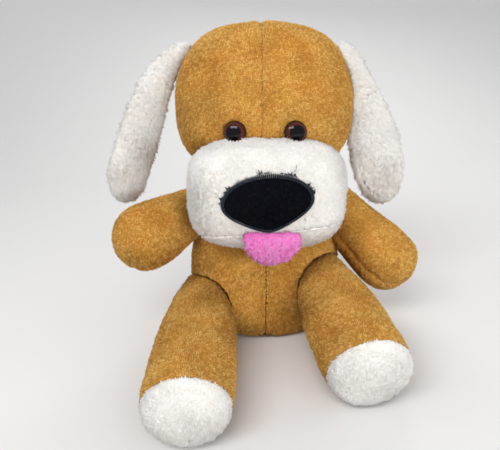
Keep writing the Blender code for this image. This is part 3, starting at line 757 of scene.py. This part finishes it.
@dataclass
class Head:
    """Head covers, filling, pocket and eyes."""

    tailor: Tailor
    middle: float = -1.2
    crown_seam: float = -4.0
    sections: tuple[tuple[float, ...], ...] = (
        (254.5, 0.0, 0.0, 15.0), (249.0, 39.0, 32.0, 15.0), (233.0, 60.5, 49.0, 14.0),
        (208.0, 73.0, 57.0, 13.0), (184.0, 75.0, 58.0, 12.0), (160.0, 71.0, 55.0, 11.0),
        (142.0, 56.0, 45.0, 10.0), (130.0, 26.0, 22.0, 9.0), (127.0, 0.0, 0.0, 9.0))
    eye_radius: float = 9.0
    eye_dome: float = 6.5
    eye_spacing: float = 45.4
    eye_middle: tuple[float, float, float] = (-1.5, -44.6, 172.3)
    shank: float = 2.4
    shank_length: float = 13.0

    def form(self) -> StuffedForm:
        """Smooth shape of the head."""
        place = LEAN @ Matrix.Translation((self.middle, 0.0, 0.0))
        return StuffedForm(shifted(self.sections), 2.15, place, self.seam)

    def seam(self, spot: Vector) -> float:
        """Depth of the crown seam's valley at a point, in metres.

        Args:
            spot: The point, in metres.

        Returns:
            The depth.
        """
        upright = LEAN.inverted() @ spot
        off = abs(upright.x / MM - self.crown_seam)
        top = min(1.0, max(0.0, (upright.z / MM - 236.0) / 14.0))
        return (0.12 + 1.9 * top) * MM * math.exp(-(off / 2.4) ** 2)

    def close(self, spot: Vector) -> Vector:
        """Bring the edges of the crown seam together.

        Args:
            spot: The point, in metres.

        Returns:
            Where the point goes.
        """
        upright = LEAN.inverted() @ spot
        off = upright.x / MM - self.crown_seam
        if abs(off) < 3.0:
            upright.x -= math.copysign(min(abs(off), 0.16), off) * MM
        return LEAN @ upright

    def build(self) -> None:
        """Make the head's pieces."""
        form = self.form()
        for label in ("left", "right"):
            self.tailor.plush("head_cover_" + label, form, PLUSH, SHORT_PILE, "head",
                              seams=self.seam, ease=self.close)
            self.eye(label, 1 if label == "left" else -1)
            self.tailor.cloth("eye_washer_" + label, WASHER_PLASTIC, "head", 6.0, 0.0)
        self.tailor.filling("head_stuffing", "head")
        self.tailor.cloth("head_finger_pocket", LINING_CLOTH, "head")

    def eye(self, label: str, side: int) -> None:
        """Turn a domed safety eye on its shank.

        Args:
            label: left or right.
            side: 1 for the puppet's left, -1 for its right.
        """
        bm = bmesh.new()
        profile = [(-self.shank_length, 0.0), (-self.shank_length, self.shank), (-0.4, self.shank),
                   (-0.2, self.eye_radius - 1.0), (0.3, self.eye_radius - 0.2),
                   (0.8, self.eye_radius)]
        for step in range(1, 16):
            turn = step / 16 * math.pi / 2
            profile.append((0.8 + (self.eye_dome - 0.8) * math.sin(turn),
                            self.eye_radius * math.cos(turn)))
        profile.append((self.eye_dome, 0.0))
        points = [bm.verts.new((radius * MM, 0.0, along * MM)) for along, radius in profile]
        edges = [bm.edges.new(pair) for pair in zip(points, points[1:])]
        bmesh.ops.spin(bm, geom=points + edges, cent=(0, 0, 0), axis=(0, 0, 1), steps=56,
                       angle=math.tau, use_merge=True)
        bmesh.ops.remove_doubles(bm, verts=bm.verts[:], dist=1e-6)
        bmesh.ops.recalc_face_normals(bm, faces=bm.faces[:])
        layer = bm.verts.layers.float.new("from_middle")
        for vert in bm.verts:
            out = math.hypot(vert.co.x, vert.co.y) / (self.eye_radius * MM)
            vert[layer] = out if vert.co.z > 0.0005 else 1.0
        look = Vector((side * 0.22, -1.0, 0.10)).normalized()
        x, y, z = self.eye_middle
        seat = Vector((x + side * self.eye_spacing / 2, y, z)) * MM
        turn = look.to_track_quat("Z", "Y").to_matrix().to_4x4()
        bmesh.ops.transform(bm, matrix=LEAN @ Matrix.Translation(seat) @ turn, verts=bm.verts[:])
        made = piece("eye_{}_dome".format(label), bm, EYE_PLASTIC)
        made.data.set_sharp_from_angle(angle=math.radians(40.0))
        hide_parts("eye_" + label)
        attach(made, "head")


@dataclass
class Muzzle:
    """White muzzle and chin, mouth lining, nose with its stitched rim, and tongue."""

    tailor: Tailor
    sections: tuple[tuple[float, ...], ...] = (
        (-82.0, 0.0, 0.0, 126.5), (-79.5, 41.0, 25.0, 126.5), (-71.0, 55.0, 37.0, 126.5),
        (-58.0, 60.0, 41.0, 127.5), (-44.0, 60.5, 39.5, 128.5), (-33.0, 52.0, 31.0, 132.0),
        (-28.0, 0.0, 0.0, 134.0))
    nose_width: float = 62.0
    nose_top: float = 145.5
    nose_bottom: float = 108.0
    nose_shoulder: float = 17.5
    nose_point: float = 0.45
    nose_x: float = -0.5
    nose_roll: float = math.radians(-6.0)
    rim: float = 2.6
    stitches: int = 150
    mouth: float = 105.0
    mouth_slope: float = 0.10
    lip: float = 2.6
    tongue_x: float = 3.0

    def form(self) -> StuffedForm:
        """Smooth shape of the muzzle, whose sections run from front to back.

        Returns:
            The form.
        """
        swap = Matrix(((1, 0, 0, 0), (0, 0, 1, 0), (0, 1, 0, 0), (0, 0, 0, 1)))
        return StuffedForm(shifted(self.sections), 3.3, LEAN @ swap)

    def build(self) -> None:
        """Make the muzzle's pieces."""
        form = self.form()
        self.tailor.plush("muzzle_cover", form, FLEECE, FLEECE_PILE, "head", ease=self.close)
        self.tailor.plush("jaw_cover", form, FLEECE, FLEECE_PILE, "jaw", ease=self.close)
        self.tailor.filling("muzzle_stuffing", "head")
        self.tailor.filling("jaw_stuffing", "jaw")
        middle = LEAN @ Vector((0.0, -52.0 * MM, 105.0 * MM))
        shrink = (Matrix.Translation(middle) @ Matrix.Diagonal((0.90, 0.86, 1.0, 1.0))
                  @ Matrix.Translation(-middle))
        self.tailor.cloth("mouth_roof", FLEECE, "head", draw_in=shrink)
        self.tailor.cloth("mouth_floor", FLEECE, "jaw", draw_in=shrink)
        self.tailor.plush("nose_patch", None, NOSE_CLOTH, NOSE_PILE, "head",
                          facing=("muzzle_cover",))
        self.tongue()
        self.stitched_rim(form.tree())

    def close(self, spot: Vector) -> Vector:
        """Draw both lips towards each other, so that only a crease is left between them.

        Args:
            spot: The point, in metres.

        Returns:
            Where the point goes.
        """
        upright = LEAN.inverted() @ spot / MM
        off = upright.z - (self.mouth + self.mouth_slope * upright.x)
        if abs(off) < 9.0:
            hold = 1.0 - max(0.0, abs(off) - self.lip) / (9.0 - self.lip)
            step = min(abs(off), self.lip - 0.2) * max(0.0, min(1.0, hold))
            upright.z -= math.copysign(step, off)
        return LEAN @ (upright * MM)

    def outline(self, at: float, grow: float) -> Vector:
        """Point of the nose's outline.

        Args:
            at: Place round it, 0 to 1.
            grow: How far outside, in millimetres.

        Returns:
            The point before the lean, in millimetres, far in front.
        """
        middle = self.nose_top - self.nose_shoulder
        across, up = math.cos(math.tau * at), math.sin(math.tau * at)
        taper = 1.0 if up > 0 else 1.0 - self.nose_point * up * up
        height = (self.nose_shoulder if up > 0 else middle - self.nose_bottom) + grow
        flat = Vector(((self.nose_width / 2 + grow) * across * taper, 0.0, height * up))
        flat.rotate(Matrix.Rotation(self.nose_roll, 3, "Y"))
        return flat + Vector((self.nose_x, -120.0, middle))

    def on_muzzle(self, tree: BVHTree, spot: Vector) -> tuple[Vector, Vector]:
        """Where a line back from the spot meets the muzzle.

        Args:
            tree: The muzzle's surface.
            spot: A point in front, before the lean, in millimetres.

        Returns:
            The point and the way outwards there, in metres.
        """
        back = (LEAN.to_3x3() @ Vector((0.0, 1.0, 0.0))).normalized()
        hit, normal, _, _ = tree.ray_cast(LEAN @ (spot * MM), back)
        return hit, normal

    def stitched_rim(self, tree: BVHTree) -> None:
        """Lay satin stitches side by side over the rim, with loose fibres at the top.

        Args:
            tree: The muzzle's surface.
        """
        bm = bmesh.new()
        fibres = bmesh.new()
        for index in range(self.stitches):
            at = index / self.stitches
            inner, way_in = self.on_muzzle(tree, self.outline(at, -0.9))
            outer, way_out = self.on_muzzle(tree, self.outline(at + 0.002, self.rim))
            start = inner + way_in * (3.1 * MM)
            end = outer + way_out * (0.9 * MM)
            strand(bm, start, end, 0.62 * MM, (way_in + way_out) * (0.9 * MM))
            tuft = 0.42 + 2.4 * noise.noise(outer * 330.0)
            if math.sin(math.tau * at) > 0.05 and tuft > 0.1:
                for hair in range(3):
                    stray = noise.noise_vector(outer * 3000.0 + Vector((0.0, 0.0, 7.0 * hair)))
                    tip = (outer + way_out * (1.5 * MM)
                           + Vector((2.2 * stray.x, 0.2, 1.0 + stray.z)) * (1.8 * tuft * MM))
                    strand(fibres, end, tip, 0.28 * MM, way_out * (0.5 * MM))
        loose, _ = self.on_muzzle(tree, self.outline(0.16, 3.0))
        lean = LEAN.to_3x3()
        steps = [loose + lean @ (Vector(row) * MM) for row in
                 ((0.0, -2.0, -1.0), (1.5, -3.5, 2.5), (3.2, -3.0, 4.5), (3.6, -2.5, 8.0))]
        for start, end in zip(steps, steps[1:]):
            strand(fibres, start, end, 0.22 * MM, Vector((0.0, 0.0, 0.0)))
        rim = piece("nose_satin_stitches", bm, SATIN_THREAD)
        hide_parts("nose_stitching")
        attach(rim, "head")
        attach(piece("nose_loose_fibres", fibres, BLACK_FIBRE), "head")

    def tongue(self) -> None:
        """Nap the tongue, with painted shade that darkens it towards its root in the mouth."""
        made = self.tailor.plush("tongue", None, TONGUE_CLOTH, TONGUE_PILE, "tongue",
                                 ease=self.taper)
        layer = made.data.attributes["pile"]
        top = max(vert.co.z for vert in made.data.vertices)
        for item, vert in zip(layer.data, made.data.vertices):
            item.value *= min(1.0, 0.3 + (top - vert.co.z) / (11.0 * MM))

    def taper(self, spot: Vector) -> Vector:
        """Narrow the tongue towards its rounded end.

        Args:
            spot: The point, in metres.

        Returns:
            Where the point goes.
        """
        upright = LEAN.inverted() @ spot / MM
        low = min(1.0, max(0.0, (self.mouth - 3.0 - upright.z) / 20.0))
        upright.x += (self.tongue_x - upright.x) * 0.26 * low * low
        return LEAN @ (upright * MM)


@dataclass
class Ear:
    """One drooping ear: a front and a back panel sewn round the edge."""

    tailor: Tailor
    label: str

    def build(self) -> None:
        """Make both panels."""
        for face, other in (("front", "back"), ("back", "front")):
            self.tailor.plush("ear_{}_{}".format(self.label, face), None, FLEECE, LONG_PILE,
                              "ear_" + self.label,
                              facing=("ear_{}_{}".format(self.label, other),))


SHOULDER_LEFT, SHOULDER_RIGHT = Vector((59.0, 2.0, 103.0)), Vector((-60.5, 4.0, 98.0))
HIP_LEFT, HIP_RIGHT = Vector((51.0, -20.0, 42.0)), Vector((-52.0, -22.0, 32.0))


@dataclass
class Trunk:
    """Body covers, seat, hand lining, hem, neck and filling."""

    tailor: Tailor
    sections: tuple[tuple[float, ...], ...] = (
        (122.0, 0.0, 0.0, 4.0), (116.0, 31.0, 27.0, 4.0), (102.0, 48.0, 39.0, 2.0),
        (80.0, 61.0, 51.0, 0.0), (54.0, 66.0, 57.0, -1.0), (26.0, 63.0, 59.0, -2.5),
        (6.0, 54.0, 53.0, -3.0), (-6.0, 32.0, 31.0, -3.0), (-9.0, 0.0, 0.0, -3.0))
    side_seam: float = 6.0
    opening: tuple[float, float, float] = (32.5, 18.5, 54.5)
    stitch: float = 3.4
    hollows: dict[str, tuple[Vector, float]] = field(default_factory=lambda: {
        "shoulder_left": (LEAN @ SHOULDER_LEFT * MM, 34.0),
        "shoulder_right": (LEAN @ SHOULDER_RIGHT * MM, 34.0),
        "hip_left": (HIP_LEFT * MM, 42.0), "hip_right": (HIP_RIGHT * MM, 42.0)})

    def form(self) -> StuffedForm:
        """Smooth shape of the body."""
        return StuffedForm(shifted(self.sections), 2.15, LEAN, self.seam)

    def seam(self, spot: Vector) -> float:
        """Depth of the belly seam's valley at a point, in metres.

        Args:
            spot: The point, in metres.

        Returns:
            The depth.
        """
        upright = LEAN.inverted() @ spot / MM
        side = 1.1 * math.exp(-((upright.y - self.side_seam) / 2.4) ** 2)
        if upright.y > 0.0:
            return side * MM
        pucker = 1.0 + 0.5 * noise.noise(Vector((0.0, 3.0, upright.z * 0.16)))
        return (1.5 * pucker * math.exp(-(upright.x / 2.2) ** 2)
                + 1.6 * math.exp(-(upright.x / 9.0) ** 2) + side) * MM

    def close(self, spot: Vector) -> Vector:
        """Bring the edges of the belly seam and the side seams together.

        Args:
            spot: The point, in metres.

        Returns:
            Where the point goes.
        """
        upright = LEAN.inverted() @ spot
        for axis, seam in ((0, 0.0), (1, self.side_seam)):
            off = upright[axis] / MM - seam
            if abs(off) < 3.0 and (axis == 1 or upright.y < 0.0):
                upright[axis] -= math.copysign(min(abs(off), 0.16), off) * MM
        return LEAN @ upright

    def build(self) -> None:
        """Make the body's pieces."""
        form = self.form()
        for node in ("torso_front_left", "torso_front_right", "torso_back_panel"):
            self.tailor.plush(node, form, PLUSH, SHORT_PILE, "torso", seams=self.seam,
                              ease=self.close)
        self.tailor.filling("torso_stuffing_left", "torso")
        self.tailor.filling("torso_stuffing_right", "torso")
        cushions = ("torso_stuffing_left", "torso_stuffing_right")
        for name, (joint, reach) in self.hollows.items():
            self.tailor.socket(name + "_socket_cloth", cushions, joint, reach, "torso")
        self.tailor.cloth("seat_panel", LINING_CLOTH, "torso", crease=0.0)
        self.tailor.cloth("hand_lining", LINING_CLOTH, "torso", 3.5, 0.7)
        self.tailor.cloth("opening_hem", LINING_CLOTH, "torso", 3.0, 0.25)
        self.hem_stitches(form)
        self.tailor.cloth("neck_sleeve", LINING_CLOTH, "neck", 3.0, 0.25)
        self.tailor.plush("neck_gather", None, PLUSH, SHORT_PILE, "neck_ring",
                          facing=("neck_sleeve",))


    def hem_stitches(self, form: StuffedForm) -> None:
        """Run a line of stitches along the bound edge of the hand opening.

        Args:
            form: The body's smooth shape.
        """
        bm = bmesh.new()
        half, low, high = self.opening
        back = (LEAN.to_3x3() @ Vector((0.0, -1.0, 0.0))).normalized()
        corners = [Vector((x, 200.0, z)) for x, z in
                   ((-half, low), (half, low), (half, high), (-half, high))]
        for start, end in zip(corners, corners[1:] + corners[:1]):
            count = round((end - start).length / self.stitch)
            for index in range(count):
                ends = []
                for at in (index + 0.18, index + 0.82):
                    ray = LEAN @ (start.lerp(end, at / count) * MM)
                    hit, normal, _, _ = form.tree().ray_cast(ray, back)
                    ends.append(hit + normal * (0.5 * MM))
                strand(bm, ends[0], ends[1], 0.45 * MM, normal * (0.5 * MM))
        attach(piece("opening_stitches", bm, HEM_THREAD), "torso")


@dataclass
class Limb:
    """An arm or a leg: a tapered plush tube round a filling."""

    tailor: Tailor
    label: str
    base: Vector
    tip: Vector
    sections: tuple[tuple[float, float], ...]
    place: Matrix
    seam_side: Vector
    stretch: float = 0.0
    flat: float = 1.0

    def placed(self) -> Matrix:
        """Where the limb lies: its axis along Z from the base."""
        turn = (self.tip - self.base).to_track_quat("Z", "Y").to_matrix().to_4x4()
        return self.place @ Matrix.Translation(self.base) @ turn

    def seam(self, spot: Vector) -> float:
        """Depth of the valley of the lengthwise seam at a point, in metres.

        Args:
            spot: The point, in metres.

        Returns:
            The depth.
        """
        local = self.placed().inverted() @ (spot / MM)
        side = self.placed().to_3x3().inverted() @ self.seam_side
        if local.x * side.x + local.y * side.y < 0.0:
            return 0.0
        off = (local.x * side.y - local.y * side.x) / math.hypot(side.x, side.y)
        pucker = 1.0 + 0.8 * noise.noise(Vector((off * 0.1, 7.0, local.z * 0.12)))
        off += 1.6 * noise.noise(Vector((1.0, 5.0, local.z * 0.05)))
        return pucker * (1.3 * math.exp(-(off / 2.0) ** 2) + 0.9 * math.exp(-(off / 6.0) ** 2)) * MM

    def form(self) -> StuffedForm:
        """Smooth shape of the limb.

        Returns:
            The form.
        """
        reach = self.sections[-1][0]
        rows = [(along + self.stretch * max(0.0, along) / reach, radius, radius * self.flat,
                 0.0, 0.0) for along, radius in self.sections]
        return StuffedForm(rows, 2.0, self.placed(), self.seam)


ARM_ROWS = ((-21.0, 0.0), (-18.0, 10.5), (-10.0, 18.2), (4.0, 21.0), (26.0, 23.0), (56.0, 26.5),
            (80.0, 22.5), (92.0, 0.0))
LEG_ROWS = ((-23.0, 0.0), (-19.0, 11.0), (-11.5, 18.5), (0.0, 22.5), (32.0, 26.5), (64.0, 29.5),
            (92.0, 30.0), (126.0, 29.5), (141.5, 24.0), (146.0, 0.0))


class Arm(Limb):
    """A stub arm with its finger pocket."""

    def build(self) -> None:
        """Make the arm's pieces."""
        body = "arm_" + self.label
        self.tailor.plush("arm_cover_" + self.label, self.form(), PLUSH, SHORT_PILE, body,
                          seams=self.seam)
        self.tailor.filling("arm_stuffing_" + self.label, body)
        self.tailor.cloth("arm_finger_pocket_" + self.label, LINING_CLOTH, body, 3.0, 0.25)


class Leg(Limb):
    """A seated leg with its white foot."""

    def build(self) -> None:
        """Make the leg's pieces."""
        body = "leg_" + self.label
        form = self.form()
        self.tailor.plush("leg_cover_" + self.label, form, PLUSH, SHORT_PILE, body,
                          seams=self.seam)
        self.tailor.plush("foot_cap_" + self.label, form, FLEECE, FLEECE_PILE, body)
        self.tailor.filling("leg_stuffing_" + self.label, body)


@dataclass
class Studio:
    """Floor, lamps, world and camera."""

    focal: float = 36.0
    eye: tuple[float, float, float] = (-0.005, -0.4247, 0.2233)
    pitch: float = math.radians(18.0)
    roll: float = math.radians(5.7)

    def build(self) -> None:
        """Set up the whole studio."""
        self.floor()
        self.lamp("key", (-0.35, -0.85, 1.0), (1.0, 0.35), 8.6)
        self.lamp("fill", (0.45, -1.05, 0.22), (0.9, 0.4), 5.6, False)
        self.lamp("back", (0.2, 0.9, 0.9), (0.9, 0.5), 5.0, False)
        self.world()
        self.camera()
        bpy.context.scene.view_settings.view_transform = "Standard"

    def floor(self) -> None:
        """Lay the pale floor, which turns up into a wall far behind."""
        bm = bmesh.new()
        bmesh.ops.create_grid(bm, x_segments=1, y_segments=1, size=3.0)
        bmesh.ops.translate(bm, verts=bm.verts[:], vec=(0.0, -1.5, -0.0004))
        back = [edge for edge in bm.edges if all(vert.co.y > 1.4 for vert in edge.verts)]
        wall = bmesh.ops.extrude_edge_only(bm, edges=back)["geom"]
        top = [item for item in wall if isinstance(item, bmesh.types.BMVert)]
        bmesh.ops.translate(bm, verts=top, vec=(0.0, 0.0, 3.0))
        bmesh.ops.bevel(bm, geom=back, offset=0.9, offset_type="OFFSET", affect="EDGES",
                        segments=24, profile=0.5, material=-1)
        mesh = bpy.data.meshes.new("floor")
        bm.to_mesh(mesh)
        bm.free()
        mesh.shade_smooth()
        floor = bpy.data.objects.new("floor", mesh)
        bpy.context.scene.collection.objects.link(floor)
        paint = bpy.data.materials.new("pale_floor")
        paint.use_nodes = True
        shader = paint.node_tree.nodes["Principled BSDF"]
        shader.inputs["Base Color"].default_value = (0.80, 0.79, 0.77, 1.0)
        shader.inputs["Roughness"].default_value = 0.9
        mesh.materials.append(paint)

    def lamp(self, name: str, spot: tuple[float, float, float], size: tuple[float, float],
             power: float, mirrored: bool = True) -> None:
        """Hang a soft box that looks at the puppet.

        Args:
            name: Its name.
            spot: Where it hangs, in metres.
            size: Its width and height.
            power: Watts.
            mirrored: Whether glossy things show its reflection.
        """
        data = bpy.data.lights.new(name, "AREA")
        data.shape = "RECTANGLE"
        data.size, data.size_y = size
        data.energy = power
        lamp = bpy.data.objects.new(name, data)
        lamp.location = spot
        lamp.visible_glossy = mirrored
        lamp.rotation_euler = (Vector((0.0, -0.03, 0.12)) - Vector(spot)).to_track_quat(
            "-Z", "Y").to_euler()
        bpy.context.scene.collection.objects.link(lamp)

    def world(self) -> None:
        """Light the surroundings softly."""
        world = bpy.data.worlds.new("studio")
        world.use_nodes = True
        back = world.node_tree.nodes["Background"]
        back.inputs["Color"].default_value = (0.93, 0.95, 1.0, 1.0)
        back.inputs["Strength"].default_value = 0.55
        bpy.context.scene.world = world

    def camera(self) -> None:
        """Place the camera as the photograph was taken."""
        data = bpy.data.cameras.new("photo_camera")
        data.lens = self.focal
        data.sensor_width = 36.0
        camera = bpy.data.objects.new("photo_camera", data)
        ahead = Vector((0.0, math.cos(self.pitch), -math.sin(self.pitch)))
        up = Vector((0.0, math.sin(self.pitch), math.cos(self.pitch)))
        side = Vector((1.0, 0.0, 0.0))
        right = side * math.cos(self.roll) - up * math.sin(self.roll)
        top = up * math.cos(self.roll) + side * math.sin(self.roll)
        turn = Matrix((right, top, -ahead)).transposed().to_4x4()
        camera.matrix_world = Matrix.Translation(self.eye) @ turn
        bpy.context.scene.collection.objects.link(camera)
        bpy.context.scene.camera = camera


@dataclass
class Puppet:
    """The whole puppet, part by part."""

    tailor: Tailor

    def build(self) -> None:
        """Dress every part."""
        Head(self.tailor).build()
        Muzzle(self.tailor).build()
        Trunk(self.tailor).build()
        for label in ("left", "right"):
            Ear(self.tailor, label).build()
        Arm(self.tailor, "left", SHOULDER_LEFT, Vector((112.0, -36.0, 54.8)), ARM_ROWS,
            LEAN, Vector((-0.45, -0.75, -0.35))).build()
        Arm(self.tailor, "right", SHOULDER_RIGHT, Vector((-99.0, -56.0, 90.5)), ARM_ROWS,
            LEAN, Vector((0.0, 0.2, -1.0))).build()
        Leg(self.tailor, "left", HIP_LEFT, Vector((62.0, -137.0, 28.0)), LEG_ROWS,
            UPRIGHT, Vector((0.8, 0.0, 0.6)), -5.0, 0.94).build()
        Leg(self.tailor, "right", HIP_RIGHT, Vector((-54.5, -154.0, 28.0)),
            LEG_ROWS, UPRIGHT, Vector((-0.8, 0.0, 0.6)), 13.0, 0.94).build()


def main() -> None:
    """Build the puppet and the studio."""
    logging.basicConfig(level=logging.INFO, format="%(message)s")
    noise.seed_set(NOISE_SEED)
    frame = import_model()
    Puppet(Tailor(frame)).build()
    Studio().build()


if __name__ == "__main__":
    main()
